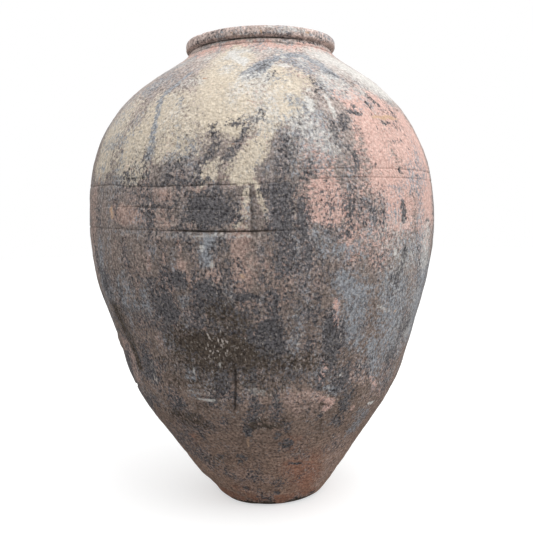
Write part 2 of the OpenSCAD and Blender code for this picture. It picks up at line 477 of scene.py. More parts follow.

# %% [markdown]
# ## Cracks, gouges and chips
# These single marks are listed one by one: an upright crack beside the pale triangle,
# another at the turn of the wall, a hole with a square corner, and a chip out of the rim.
# Each is a short path with a half width in degrees, a half height and a depth in mm. The
# lumps are the same with a depth below nothing.

# %% Marks
MARKS = [
    (2.2, .5, 3, [(-2.6, 602), (-2.4, 560), (-2.6, 529)]),
    (3, .6, 4, [(-10, 300), (-10.6, 262), (-11.5, 230)]),
    (1, 1, 8, [(46.5, 488), (46, 460)]),
    (3.4, .8, 3.5, [(21.3, 240), (21.3, 229), (24, 226)]),
    (3.5, 1.3, 7, [(31, 893), (31, 882)]),
    (2.5, 2.2, 3, [(-52, 893), (-50, 891)]), (2.2, 2.6, 3, [(8, 893), (11, 892)]),
    (2.0, 2.0, 3, [(-27, 873)]), (2.4, 2.4, 3, [(18, 873), (22, 873)]),
    (2.6, 3.0, 3, [(40, 873)]), (2.0, 1.6, 3, [(-6, 874)]), (3.0, 3, 4, [(130, 890)]),
    (.7, 1.5, 1.2, [(-48, 473), (-28, 472)]), (.6, 1.5, 1.2, [(-18, 470), (-7, 467)]),
    (.8, 1.5, 1.3, [(43, 672), (50, 674), (57, 668)]), (.6, 1, 1.2, [(-72, 584), (-58, 580)]),
    (1, 1.4, 12, [(-57, 392), (-56, 350)]), (1.2, 1, 10, [(-54, 322), (-53, 284)]),
    (2.2, 2, 4, [(-88, 222), (-74, 232), (-60, 246)]),
    (1.2, 3, 4, [(-19, 248), (-25, 243)]), (1.0, 2.4, 4, [(-15, 305), (-25, 300)]),
    (1.2, 1.5, 5, [(33, 720)]), (1.0, 2, 5, [(26, 700)]), (1.0, 1.6, 4, [(45, 737)]),
    (.6, 2, 12, [(45, 560), (46, 540)]), (1.2, 1, 10, [(-6, 384)]),
    (1.4, 3, 4, [(48, 212)]), (1.5, 4, 7, [(5, 34)]), (1.6, 4, 6, [(-17, 40)]),
    (1.6, 1.6, 5, [(-13, 89)]), (1.5, 3, 5, [(16, 105)]), (1.5, 3, 7, [(-15, 110)]),
    (1.4, 4, 10, [(-9, 188)]), (1.3, 3, 8, [(9, 149)]), (1.3, 3, 8, [(32, 198)]),
    (-2.6, 5, 16, [(-77, 318)]), (-1.6, 5, 9, [(-82, 232)]), (-1.4, 6, 18, [(60, 300)]),
    (-1.4, 7, 14, [(15, 245)]), (-1.0, 9, 12, [(-40, 232)]),
    (-1.2, 9, 7, [(-40, 523), (-10, 518)]), (-.8, 10, 6, [(-35, 595), (0, 594)]),
    (2.4, 3, 14, [(150, 470), (153, 440)]), (2.6, 4, 5, [(110, 640), (128, 646)]),
    (1.8, .4, 5, [(-142, 600), (-140, 545)]), (2.4, 2, 5, [(-104, 700), (-98, 694)]),
    (3, 2.5, 6, [(168, 240), (171, 228)]),
]


def near_path(azimuth, height, half_deg, half_mm, path):
    """Distance from a path of (azimuth, height), counted in its own half widths."""
    first = path[0][0]
    turn = (azimuth - first + 180) % 360 - 180
    x, y = turn / half_deg, height / half_mm
    points = [((a - first + 180) % 360 - 180, h) for a, h in path]
    best = np.full(len(x), 1e9)
    for (a0, h0), (a1, h1) in zip(points, points[1:] or points):
        px, py, qx, qy = a0 / half_deg, h0 / half_mm, a1 / half_deg, h1 / half_mm
        length = max((qx - px) ** 2 + (qy - py) ** 2, 1e-9)
        t = np.clip(((x - px) * (qx - px) + (y - py) * (qy - py)) / length, 0, 1)
        best = np.minimum(best, np.hypot(x - px - t * (qx - px), y - py - t * (qy - py)))
    return best


def soft_step(low, high, value):
    t = np.clip((value - low) / (high - low), 0, 1)
    return t * t * (3 - 2 * t)


print(len(MARKS), "single marks")

# %% [markdown]
# ## The potter's hand
# Every point is moved by one rule that depends only on where it is, so neighbouring
# pieces still meet along their seams. The rings of clay first slide up or down with the
# wandering seams. Then the outside is pushed in or out along the wall: faint bands from
# the turning, lumps from the beating, pits and grit, open seams and single marks. Last,
# each height is shifted a few millimetres sideways, because such a jar is not quite true.
# The widest ring only ever loses clay, so the jar keeps the drawing's size.

# %% Moving the points
SIDEWAYS = [(0, 2.3), (100, 1.3), (200, -.9), (330, 1.3), (440, -1.4), (551, 0), (640, -1),
            (700, -2.5), (770, -2.5), (845, 2), (862, 3.5), (872, 4.3), (893, 4.3)]


def hand_made(piece):
    mesh = piece.data
    flat = np.empty(len(mesh.vertices) * 3)
    mesh.vertices.foreach_get("co", flat)
    co = flat.reshape(-1, 3)
    radius, z = np.hypot(co[:, 0], co[:, 1]), co[:, 2]
    azimuth = np.degrees(np.arctan2(co[:, 0], -co[:, 1]))
    height = z * 1000
    rim = height > 862
    line_r = np.where(rim, RIM_R, outer_r(z))
    skin = soft_step(0, 1, 1 - (line_r - radius - np.where(rim, .009, 0)) / 0.017)
    skin[height < .01] *= soft_step(.085, .1, radius[height < .01])

    rise = np.zeros(len(z))
    for home, (heights, _, (low, high)) in SEAMS.items():
        tent = np.interp(height, [low, home, high], [0, 1, 0])
        rise += tent * (along_round(heights, azimuth) - home)
    moved = height + rise
    radius = radius + np.where(rim, 0, outer_r(moved / 1000) - outer_r(z))

    here = np.stack([co[:, 0], co[:, 1], moved / 1000], 1)
    out = -.5 + .55 * cloud(here, (.3, .3, .024), 1) + .8 * cloud(here, .11, 2)
    out += .5 * cloud(here, .035, 3) + .28 * cloud(here, .011, 4) + .22 * cloud(here, .0055, 5)
    rough = .5 + .5 * soft_step(520, 250, moved)
    out += rough * np.minimum(0, .9 * cloud(here, .018, 6) + .25)
    out -= 1.1 * np.cos(np.radians(azimuth)) ** 2
    # The second array collects how dark each point is painted: partly dirt and partly painted shade in open seams and
    # dents, and painted shade alone under the rim lip.
    deep, cracks_and_shade = np.zeros(len(z)), np.zeros(len(z))
    for home, (heights, depths, _) in SEAMS.items():
        gap = moved - along_round(heights, azimuth) - .7 * cloud(here, .012, home)
        depth = along_round(depths, azimuth) * (1 + .35 * cloud(here, .02, home + 1))
        dip = np.clip(depth, 0, None) * np.exp(-np.abs(gap / SEAM_WIDE) ** 1.6)
        deep = np.maximum(deep, dip)
        cracks_and_shade = np.maximum(cracks_and_shade, dip)
    bend_x = 1.6 * cloud(here, .02, 7) + .8 * cloud(here, .007, 8)
    bend_y = 1.6 * cloud(here, .02, 9) + .8 * cloud(here, .007, 10)
    warped_az = azimuth + np.degrees(bend_x / 1000 / np.maximum(radius, .1)) * .6
    for depth, half_deg, half_mm, path in MARKS:
        far = near_path(warped_az, moved + bend_y * .6, half_deg, half_mm, path)
        dent = depth * (1 - soft_step(.35, 1.15, far))
        if depth > 0:
            deep = np.maximum(deep, dent)
            cracks_and_shade = np.maximum(cracks_and_shade, dent * (1 if half_deg < .7 else .35))
        else:
            out -= dent
    out -= deep
    lip = np.exp(-((moved - 872.5) / 2.6) ** 2) * (radius > .1365)
    out -= lip * np.clip(1.1 + 1.5 * cloud(here, .011, 11) + .9 * cloud(here, .004, 12), 0, 4)
    collar = soft_step(862, 866, moved) * soft_step(872.4, 870.5, moved)
    out -= 1.2 * collar
    # Painted shade: the band just under the rim lip is darkened as the shadow under its overhang, not as a crack, and
    # joins the same darkness as the cracks.
    gap = np.exp(-((moved - 871.5) / 1.4) ** 2) * (1 + .6 * cloud(here, .02, 18))
    gap *= along_round([(-180, 4), (-60, 2), (-48, 4), (26, 4), (36, 2.2), (60, 1.6), (90, 3.5), (180, 4)],
                       azimuth)
    cracks_and_shade = np.maximum(cracks_and_shade, gap)
    worn = soft_step(52, 12, moved) * soft_step(-28, -58, azimuth) * soft_step(-130, -90, azimuth)
    out -= 8.5 * worn * (1 + .4 * cloud(here, .02, 13))
    out -= soft_step(30, 5, moved) * (1.2 + 1.2 * cloud(here, .02, 14))

    slope = np.gradient(body_line[:, 0], body_line[:, 1])
    slope = np.where(rim, 0, np.interp(moved / 1000, body_line[:, 1], slope))
    size = np.hypot(1, slope)
    out = out / 1000 * skin
    radius = radius + out / size
    lift = -out * slope / size * np.clip(moved / 40, 0, 1)
    crown = rim & (moved > 884)
    lift = np.where(crown, np.minimum(0, .45 * (cloud(here, .03, 15) - 1) / 1000), lift)
    inside = (1 - skin) * soft_step(34, 60, moved) * soft_step(860, 840, moved)
    ridges = np.sin(moved * .42 + 2 * cloud(here, .15, 16)) + cloud(here, .03, 17)
    radius += inside * .0006 * ridges
    radius = np.minimum(radius, .3368)
    turn = np.radians(azimuth)
    side = along_round(SIDEWAYS, moved) / 1000
    x, y = radius * np.sin(turn) + side, -radius * np.cos(turn)
    new_z = np.clip(moved / 1000 + lift, 0, JAR_H)
    new_z[height < .01] = 0
    mesh.vertices.foreach_set("co", np.stack([x, y, new_z], 1).ravel())
    mesh.update()
    return azimuth, moved, here, cracks_and_shade * skin, skin


placed = {name: hand_made(piece) for name, piece in pieces.items()}
print("deepest mark:", round(max(float(p[3].max()) for p in placed.values()), 1), "mm")

# %% [markdown]
# ## What the fire left
# The colours are the jar's history. Cream is a pale crust of clay and lime, salmon is
# clay that burned in clean air, soot is where smoke sat, ash is a blue-grey bloom of
# smoke over pale clay, rose is bare clay showing through, and ochre is small rusty
# flecks. Each has a list of patches: how fully it covers, its half width
# in degrees and half height in mm, and a path of (azimuth, height). The far side was
# not seen, so its patches are the maker's own and follow the same habits.

# %% Patches of each finish
PATCHES = {
    "cream": [
        (.35, 7, 12, [(-18, 668), (-11, 672)]), (.3, 6, 14, [(-50, 640)]),
        (1, 13, 32, [(-13, 835), (-13, 800), (-12, 765)]),
        (1, 14, 30, [(-12, 770), (-10, 735), (-8, 712)]),
        (.95, 9, 26, [(6, 790), (9, 765), (8, 735), (6, 712)]),
        (.8, 13, 28, [(-30, 745), (-33, 715), (-36, 690)]),
        (.72, 11, 30, [(-22, 715), (-24, 685), (-26, 665)]),
        (.95, 9, 25, [(-40, 690), (-42, 655), (-41, 634)]),
        (.78, 10, 35, [(-54, 735), (-57, 690), (-58, 655)]),
        (1, 3.8, 10, [(6, 735), (4, 705), (2, 685), (-2, 655), (-4, 635), (-5, 612)]),
        (.7, 4, 12, [(-12, 640), (-14, 615)]), (.75, 5, 10, [(-38, 636), (-36, 618)]),
        (1, .8, 9, [(-3.4, 592)]), (.7, 1.1, 8, [(-3.8, 581)]), (.6, 1.5, 8, [(-4.2, 571)]),
        (.6, 2, 8, [(-4.7, 561)]), (.6, 2.6, 8, [(-5.3, 551)]), (.6, 3.2, 8, [(-6, 541)]),
        (.35, 8, 24, [(-52, 735), (-52, 700)]), (.3, 6, 16, [(-50, 668)]), (.3, 6, 18, [(-58, 755)]),
        (.8, .5, 9, [(-1.2, 606), (-.8, 596)]),
        (.6, 5, 12, [(16, 790), (18, 770)]), (.7, .7, 18, [(-.4, 590), (1.2, 560)]),
        (.5, 1, 14, [(8.5, 550)]),
        (.9, 22, 45, [(150, 790), (165, 740)]), (.7, 18, 35, [(-150, 720), (-140, 680)]),
        (.6, 12, 30, [(110, 760)]), (.5, 14, 30, [(-95, 720), (-85, 690)]),
        (.85, 4.5, 12, [(172, 700), (168, 660), (162, 630)]), (.7, 5, 14, [(-120, 640)])],
    "salmon": [
        (.4, 7, 22, [(28, 635), (31, 590)]), (.45, 10, 26, [(52, 635), (60, 600)]), (.4, 6, 16, [(42, 548)]),
        (.35, 5, 26, [(20, 692), (21, 640)]), (.3, 6, 18, [(-40, 638)]), (.4, 5, 20, [(30, 640), (30, 620)]),
        (.4, 8, 30, [(60, 530), (58, 490)]), (.3, 8, 20, [(20, 660), (18, 630)]), (.35, 8, 16, [(38, 842), (46, 830)]),
        (.35, 8, 26, [(30, 600), (34, 560)]), (.3, 8, 20, [(42, 515), (50, 500)]),
        (.8, 9, 8, [(-44, 853), (-20, 857), (0, 857), (20, 856), (40, 855), (60, 856)]),
        (.6, 7, 8, [(-26, 845), (-38, 843)]), (.5, 10, 6, [(0, 847), (20, 848)]),
        (.5, 14, 28, [(30, 545), (36, 505)]), (.95, 7.5, 22, [(33, 748), (37, 715), (38, 680), (38, 640), (38, 610)]),
        (.9, 9, 25, [(47, 745), (50, 705), (52, 660), (52, 610)]),
        (.92, 9, 28, [(60, 715), (62, 660), (62, 600), (62, 550)]),
        (.85, 9, 24, [(41, 598), (44, 565), (43, 535)]),
        (.75, 7, 26, [(56, 575), (58, 535), (60, 500)]),
        (.78, 8, 20, [(18, 595), (19, 570), (18, 550)]), (.5, 4, 12, [(27, 785), (31, 760)]),
        (.55, 4, 20, [(24, 520), (25, 490)]), (.45, 5, 18, [(33, 505), (36, 478)]),
        (.9, 1.5, 5, [(36, 476), (36, 470)]),
        (1, 1.2, 8, [(21.5, 412), (22, 372), (21.6, 342), (20.6, 300), (19.4, 278)]),
        (.9, 2.2, 6, [(21, 241), (24, 236)]), (.9, 1.6, 7, [(26, 232), (23, 221)]),
        (.7, 1.3, 7, [(41, 272), (44, 258), (47, 245)]), (.5, 7, 30, [(17, 655), (18, 615)]),
        (.8, 1.3, 7, [(37.5, 214)]), (.7, 2, 8, [(53, 235)]), (.6, 1, 30, [(31, 700), (29, 650)]),
        (.72, 16, 40, [(85, 700), (92, 650), (95, 600)]), (.6, 14, 30, [(-120, 600), (-125, 560)]),
        (.5, 20, 20, [(120, 560)]), (.9, 60, 8, [(110, 857), (170, 857)]),
        (.85, 60, 8, [(-170, 857), (-100, 857)]), (.9, .9, 10, [(140, 420), (141, 360), (139, 310)])],
    "rose": [
        (.5, 16, 30, [(46, 115), (50, 45)]), (.45, 12, 22, [(-18, 85), (-14, 50)]), (.4, 3, 20, [(-31, 440)]),
        (.5, 8, 18, [(-44, 638), (-38, 600)]), (.45, 8, 16, [(-26, 580), (-20, 590)]), (.4, 5, 30, [(-54, 290), (-50, 270)]),
        (.45, 6, 20, [(12, 580), (20, 560)]),
        (.95, 1.1, 8, [(-3.8, 581)]), (.95, 1.5, 8, [(-4.2, 571)]), (.95, 2, 8, [(-4.7, 561)]),
        (.95, 2.6, 8, [(-5.3, 551)]), (.95, 3.2, 9, [(-6, 541)]), (.5, 7, 24, [(-60, 315), (-60, 275)]),
        (.5, 3, 10, [(-34, 492)]), (.5, 4, 22, [(-40, 620), (-38, 600)]),
        (.5, 9, 20, [(-40, 632), (-36, 600)]), (.5, 8, 26, [(-34, 570), (-26, 545)]), (.45, 7, 24, [(20, 575), (14, 545)]),
        (.5, 7, 22, [(28, 600), (30, 575)]), (.4, 8, 22, [(0, 500), (0, 470)]), (.4, 12, 24, [(50, 90), (44, 55)]),
        (.4, 10, 20, [(-56, 300), (-58, 270)]), (.3, 12, 18, [(-18, 75), (-8, 85)]), (.35, 8, 12, [(44, 125)]),
        (.35, 12, 20, [(-56, 580), (-50, 555)]), (.5, 5, 18, [(38, 285)]),
        (.5, 12, 14, [(-16, 600), (-8, 612)]),
        (.9, 9, 14, [(-42, 566), (-38, 552)]), (.5, 5, 10, [(-31, 590), (-38, 588)]),
        (.85, 4, 14, [(-27, 590)]), (.8, 3.3, 30, [(-6, 518), (-6, 490), (-5, 460)]),
        (.85, 3.5, 20, [(-24, 472), (-22, 452)]), (.8, 3, 14, [(-14, 462)]),
        (.8, .8, 14, [(-23, 520), (-23, 505)]), (.8, 1, 14, [(-33, 500), (-33.5, 476)]),
        (.8, .7, 25, [(-28, 480), (-28, 440), (-27.5, 408)]),
        (.55, 8, 40, [(-64, 600), (-66, 540), (-68, 470)]), (.7, 1.4, 30, [(-58, 440), (-60, 412)]),
        (.9, 2, 7, [(-22.5, 400), (-21, 388)]), (.85, 1.6, 7, [(-24, 374), (-25, 364)]),
        (.6, 3, 12, [(-34, 365), (-36, 345)]), (.55, 6, 18, [(6, 470), (14, 440)]),
        (.8, 1.5, 8, [(13, 424)]), (.5, 6, 25, [(-3, 420), (5, 425)]),
        (.92, 8, 30, [(-62, 312), (-61, 272)]), (.6, 3, 16, [(-47, 310), (-45, 275)]),
        (.8, 6, 10, [(15, 252), (18, 243)]), (.55, 8, 16, [(8, 250), (14, 225)]),
        (.5, 6, 16, [(-3, 260), (-6, 240)]), (.6, 1.6, 10, [(5, 588)]), (.7, 2, 8, [(-55, 352)]),
        (.5, 3, 40, [(-70, 420), (-66, 400)]), (.5, 4, 22, [(2, 570), (3, 540)]),
        (.6, 12, 30, [(-95, 560), (-100, 500)]), (.7, 10, 25, [(150, 540)]),
        (.5, 14, 30, [(100, 380)]), (.6, 12, 20, [(-160, 470)]), (.5, 12, 16, [(115, 300)])],
    "ash": [
        (.45, 15, 60, [(48, 470), (52, 330)]), (.5, 5, 14, [(29, 765), (30, 745)]), (.4, 8, 22, [(44, 280), (50, 245)]),
        (.45, 7, 26, [(20, 320), (20, 280)]),
        (.45, 8, 24, [(41, 488), (48, 515)]), (.4, 5, 26, [(40, 410), (40, 365)]), (.45, 5, 20, [(40, 285)]),
        (.5, 9, 6, [(22, 884), (36, 883)]), (.45, 8, 5, [(-46, 866), (-24, 866)]), (.45, 16, 30, [(14, 700), (16, 640)]),
        (.4, 10, 26, [(32, 575), (40, 540)]), (.5, 14, 34, [(58, 400), (58, 340)]), (.4, 8, 16, [(-60, 250), (-54, 235)]),
        (.95, 5, 8, [(27, 831), (20, 833), (13, 829), (7, 820), (3, 809), (0, 798), (-3, 788)]),
        (.6, 9, 20, [(18, 820), (22, 800)]), (.8, 4, 12, [(28, 822), (31, 805), (31, 788)]),
        (.7, 1.8, 10, [(-31, 797), (-34, 775), (-36, 755), (-35, 735), (-34, 705), (-33, 680),
                       (-33, 655)]),
        (.55, 8, 22, [(-45, 800), (-50, 775)]), (.5, 9, 14, [(-50, 695), (-58, 680)]), (.4, 10, 30, [(-58, 770), (-58, 730)]),
        (.55, 6, 30, [(16, 720), (19, 670)]), (.5, 5, 12, [(12, 740), (14, 728)]),
        (.55, 6, 16, [(25, 775), (26, 755)]), (.65, 8, 28, [(25, 445), (28, 415), (28, 380), (30, 350)]),
        (.65, 12, 36, [(45, 435), (48, 390), (50, 350), (52, 310)]),
        (.7, 12, 40, [(64, 450), (66, 400), (66, 340)]), (.8, 3, 16, [(-14, 520), (-15, 492)]),
        (.4, 14, 6, [(-45, 532), (-30, 528), (-14, 523)]), (.5, 8, 20, [(16, 520), (20, 500)]),
        (.55, 5, 18, [(50, 500), (54, 470)]), (.7, 4, 25, [(40, 325), (42, 285)]),
        (.7, 2.5, 10, [(21, 265), (26, 255)]), (.55, 8, 22, [(46, 195), (48, 165)]),
        (.5, 8, 30, [(55, 250)]), (.4, 12, 26, [(3, 330), (10, 300)]), (.35, 14, 25, [(8, 380)]),
        (.45, 3, 8, [(24, 188), (30, 186)]), (.35, 6, 14, [(-28, 120), (-34, 95)]),
        (.5, 10, 5, [(50, 886), (75, 884)]), (.6, 6, 14, [(-48, 845), (-56, 825)]),
        (.8, 14, 30, [(85, 440), (90, 380)]), (.6, 16, 26, [(-170, 790), (-165, 760)]),
        (.6, 14, 30, [(-100, 420)]), (.5, 12, 24, [(-140, 240)]), (.7, 6, 14, [(120, 800), (110, 770)]),
        (.6, 10, 20, [(130, 250)])],
    "soot": [
        (.4, 4, 14, [(-10, 445)]), (.35, 4, 14, [(11, 445)]), (.4, 4, 16, [(31, 402)]), (.35, 5, 14, [(-40, 440)]),
        (.5, 3, 12, [(28, 560), (31, 540)]), (.6, 1.6, 9, [(52, 738), (53, 716)]), (.7, 1, 5, [(40, 742), (41, 733)]),
        (.55, 5, 16, [(-21, 532), (-20, 508)]), (.5, 4, 16, [(-10, 520), (-12, 500)]), (.4, 3, 10, [(-10, 636)]),
        (.4, 5, 10, [(30, 757)]), (.35, 3, 12, [(31, 696)]), (.3, 8, 18, [(50, 785), (54, 760)]),
        (.4, 8, 14, [(50, 722), (51, 700)]), (.5, 8, 30, [(-10, 470), (-9, 430)]), (.6, 1.2, 14, [(16, 420), (15, 380)]),
        (.5, 9, 4, [(-58, 877), (-34, 877)]), (.5, 8, 3, [(-14, 879), (4, 877)]), (.5, 6, 3, [(12, 877), (20, 878)]),
        # The patch at azimuth 34 to 48 and 866 mm only darkens the collar on the right, just under the rim lip.
        (.45, 5, 3, [(-38, 886), (-30, 887)]), (.6, 8, 5, [(34, 866), (48, 865)]), (.4, 6, 3, [(48, 878), (60, 877)]),
        (.95, 9, 24, [(-14, 573), (-13, 556)]), (.6, 7, 9, [(-12, 594), (-18, 594)]),
        (.6, 5, 14, [(-23, 638), (-25, 620), (-25, 610)]), (.7, 4, 7, [(-16, 612), (-27, 608)]),
        (.6, 1.8, 14, [(-12.5, 695), (-12, 670), (-14, 650), (-17, 628)]),
        (.65, 1.6, 8, [(1, 722), (.5, 705), (-4, 692), (-6, 672), (-8, 645)]),
        (.6, 5, 8, [(-6, 704), (0, 704)]), (.45, 2.5, 10, [(13, 703), (13, 688)]),
        (.6, 4, 16, [(9, 668), (7, 650), (6, 625)]), (.5, 2.5, 10, [(14, 640), (12, 612)]),
        (.8, 5.5, 25, [(5, 595), (6, 560), (5, 530)]), (.7, 6, 28, [(7, 505), (8, 470)]),
        (.9, 1.6, 25, [(11, 560), (11.5, 530)]), (.7, 2.6, 8, [(26, 706), (27, 692)]),
        (.9, 2.2, 4, [(30, 722), (34, 719)]), (.8, 1.6, 4, [(33, 730)]), (.6, 1, 6, [(29, 708)]),
        (.7, 1.6, 12, [(28, 646), (28, 630)]), (.7, 1.5, 8, [(43, 755), (46, 738)]),
        (.7, 3, 4, [(45, 706)]), (.45, .5, 20, [(40, 735), (40, 700)]), (.6, 2, 6, [(23, 668), (26, 662)]),
        (.6, 2, 10, [(22, 700), (23, 680)]), (.7, 1, 6, [(26, 742)]), (.35, 2.5, 20, [(20, 680), (20, 640)]),
        (.5, 1.5, 5, [(47, 674), (50, 676)]), (.6, 1.2, 4, [(54, 666)]), (.7, 1, 6, [(35, 632)]),
        (.8, .9, 6, [(45, 624)]), (.6, 1.2, 3, [(55, 617)]), (.5, 3, 6, [(55, 762)]),
        (.5, 4, 5, [(60, 735)]), (.6, 1.5, 4, [(55, 690)]),
        (.9, 3, 12, [(-24, 462), (-23, 445)]), (.9, 6, 18, [(-15, 442), (-14, 410)]),
        (.85, 4.5, 10, [(-6, 436), (-2, 425)]), (1, 1.3, 8, [(-8, 402), (-7, 385), (-4, 364)]),
        (.6, 4, 20, [(-8, 430), (-9, 395)]), (.85, 12, 26, [(-22, 345), (-10, 330)]), (.5, 22, 20, [(-22, 300), (-6, 285)]),
        (.7, 6, 20, [(-18, 385), (-15, 365)]), (.6, 9, 25, [(6, 320), (10, 285)]),
        (.7, 6, 22, [(28, 290), (28, 262)]), (.7, 3.5, 16, [(33, 240), (33, 215)]),
        (.85, 4, 16, [(-58, 395), (-57, 365), (-55, 345)]), (.95, 2, 16, [(-55, 325), (-53, 300), (-53, 282)]),
        (.5, 6, 15, [(-65, 345), (-62, 335)]), (.6, 2, 10, [(29, 578), (33, 560), (33, 540)]),
        (.4, 4, 14, [(28, 555)]), (.85, 1.3, 9, [(45, 570), (46, 553), (45, 540)]),
        (1, 1.6, 14, [(46.5, 488), (46, 468), (45, 457)]), (.8, 3, 4, [(63, 539)]),
        (.6, 3, 12, [(55, 500), (54, 480)]), (.6, 2.5, 10, [(43, 445), (45, 438)]),
        (.85, 2.2, 8, [(-8, 196), (-8, 180)]), (.6, 4, 8, [(-3, 195)]), (.7, 2.5, 7, [(5, 172)]),
        (.75, 3, 9, [(8, 148), (11, 150)]), (.8, 4.5, 9, [(-13, 128)]), (.75, 2.5, 7, [(-26, 124)]),
        (.85, 2.5, 7, [(-15, 110)]), (.8, 2.2, 5, [(14, 106), (19, 104)]), (.6, 5, 10, [(-28, 84)]),
        (.7, 1.5, 4, [(-27, 72)]), (.8, 1, 3.5, [(-12.5, 88)]), (.85, 3.5, 6, [(-17, 41)]),
        (.8, 3, 5, [(5, 34)]), (.5, 6, 10, [(10, 56), (5, 68)]), (.8, 4, 4, [(47, 14)]),
        (.7, 2, 9, [(21, 210)]), (.6, 4, 14, [(30, 200), (33, 185)]), (.75, 1.6, 10, [(-31, 180), (-31, 165)]),
        (.5, 6, 12, [(-36, 215), (-30, 205)]), (.55, 6, 12, [(-36, 190)]), (.6, 1.5, 5, [(33, 158)]),
        (.5, 7, 22, [(14, 500), (16, 460), (10, 420)]), (.4, 8, 20, [(3, 390), (8, 370)]),
        (.5, 3, 9, [(5, 815), (1, 802), (-3, 788)]), (.5, 3, 10, [(6, 790), (3, 776)]),
        (.5, 2, 8, [(22, 772), (24, 760)]), (.5, 2.5, 5, [(30, 793), (32, 790)]), (.5, 3, 5, [(33, 760)]),
        (.5, 1, 12, [(20.5, 775), (20.5, 750)]),
        (.2, 30, 35, [(-30, 650), (0, 640), (30, 640)]),
        (.2, 10, 36, [(20, 640), (18, 600)]), (.3, 16, 24, [(-16, 585), (4, 585)]),
        (.2, 10, 22, [(14, 530), (20, 500)]), (.62, 26, 60, [(-12, 380), (-8, 320)]),
        (.9, 14, 30, [(125, 640), (130, 600)]), (.95, 16, 40, [(175, 560), (-175, 500)]),
        (.8, 10, 30, [(-130, 460), (-128, 400)]), (.8, 6, 20, [(100, 470), (98, 430)]),
        (.7, 14, 26, [(160, 340)]), (.8, 3, 14, [(-100, 700), (-103, 650)]), (.7, 8, 18, [(-110, 300)]),
        (.7, 5, 9, [(95, 120)]), (.7, 4, 8, [(140, 70)]), (.7, 5, 10, [(-170, 140)]),
        (.7, 4, 8, [(-120, 90)]), (.7, 3, 6, [(-100, 45)]), (.6, 5, 8, [(170, 40)]),
        (.3, 70, 120, [(150, 720), (-150, 720)]), (.34, 60, 60, [(120, 520), (-120, 520)])],
    # Pale is pale dust, but the broad pale patches towards the right edge, azimuth 40 to 62 from the shoulder down to
    # the belly, are partly a painted sheen of light from the right.
    "pale": [
        (.48, 7, 26, [(14, 700), (20, 665)]), (.4, 8, 9, [(0, 840), (4, 842)]), (.3, 8, 20, [(44, 520), (50, 508)]),
        (.3, 8, 24, [(58, 545), (60, 520)]), (.25, 10, 40, [(52, 420), (56, 320)]), (.4, 9, 5, [(0, 886), (34, 886)]),
        (.5, 8, 5, [(20, 885), (32, 884)]), (.4, 7, 4, [(-36, 868), (-20, 868)]), (.3, 6, 30, [(60, 330)]),
        (.5, 9, 4, [(8, 887), (34, 887)]), (.5, 8, 3, [(-34, 868), (-18, 868)]), (.4, 9, 20, [(-54, 840), (-48, 835)]),
        (.42, 8, 30, [(4, 742), (2, 705)]), (.3, 9, 30, [(12, 700), (14, 660)]), (.3, 12, 30, [(-54, 725), (-54, 690)]),
        (.5, 8, 34, [(62, 520), (62, 470)]), (.34, 9, 26, [(50, 500), (52, 470)]), (.26, 10, 30, [(38, 470), (44, 430)]),
        (.3, 10, 26, [(60, 410), (60, 340)]), (.2, 14, 30, [(-20, 640), (-36, 650)]),
        (.34, 14, 40, [(40, 520), (50, 470)]), (.3, 6, 40, [(17, 740), (18, 680)]), (.3, 12, 30, [(-52, 780), (-56, 740)]),
        (.35, 26, 18, [(-20, 835), (10, 845)]),
        (.9, 3.2, 6, [(-17, 840), (-12, 830), (-7, 817)]), (.75, 16, 26, [(44, 832), (54, 805), (62, 775)]),
        (.5, 10, 20, [(35, 830), (40, 800)]), (.8, 2.5, 6, [(13, 826)]), (.85, 2.5, 5, [(12, 804)]),
        (.45, 4, 9, [(22, 808)]), (.8, 1.2, 5, [(18, 757)]), (.85, 1.4, 9, [(16.8, 735), (16.8, 725)]),
        (.7, .9, 9, [(23.5, 742), (23.8, 715)]), (.5, .8, 14, [(18, 700), (18.5, 680)]),
        (1, .9, 6, [(42, 488)]), (.8, .6, 6, [(-13.6, 480)]), (.6, 1, 8, [(-16, 505)]),
        (.8, 3, 2.5, [(-24, 247), (-20, 245)]), (.6, .5, 6, [(-14.7, 312)]), (.7, .5, 9, [(-25, 300)]),
        (.5, 2, 2.5, [(-28, 260), (-25, 258)]), (.9, 1.8, 3, [(49, 212), (51, 210)]),
        (.5, 9, 22, [(-62, 835), (-68, 805)]), (.35, 12, 3, [(-20, 529), (-12, 526), (-4, 524)]),
        (.45, 6, 10, [(62, 335)]), (.35, 3, 12, [(38, 298)]), (.5, 1.2, 5, [(27, 283)]),
        (.5, 1.5, 5, [(23, 262)]), (.4, 5, 12, [(-2, 268)]), (.6, 1.2, 3, [(38, 398), (44, 388)]),
        (.6, .6, 3, [(-2.6, 601)]),
        (.6, 14, 20, [(85, 800), (95, 780)]), (.6, 5, 9, [(178, 820)]), (.5, 12, 16, [(-105, 800)])],
    "scuffed": [(.5, 20, 20, [(-28, 262), (6, 262)]), (.45, 12, 26, [(-40, 120), (-30, 80)]),
                (.5, 8, 20, [(36, 300), (44, 270)])],
    "char": [
        (.95, 1.6, 14, [(-58.5, 392), (-57, 355)]), (.95, 1.4, 12, [(-55.5, 326), (-53.5, 286)]),
        (.85, 12, 30, [(-22, 352), (-9, 330)]), (.6, 20, 24, [(-24, 315), (6, 312)]), (.45, 18, 22, [(-30, 280), (-4, 276)]),
        (.55, 9, 20, [(-38, 205), (-28, 195)]), (.65, 5, 16, [(-4, 202), (4, 196)]), (.55, 7, 28, [(-13, 405), (-9, 380)]),
        (.6, 5, 14, [(-57, 390), (-54, 330)]), (.4, 8, 12, [(-22, 240)]), (.5, 14, 30, [(150, 300), (170, 280)]),
        (.5, 10, 24, [(-110, 350)]), (.4, 8, 16, [(-40, 105), (-24, 120)])],
    "ochre": [
        (1, 4, 3, [(43, 714), (51, 718)]), (.8, 1, 8, [(-49, 570), (-48.5, 560)]),
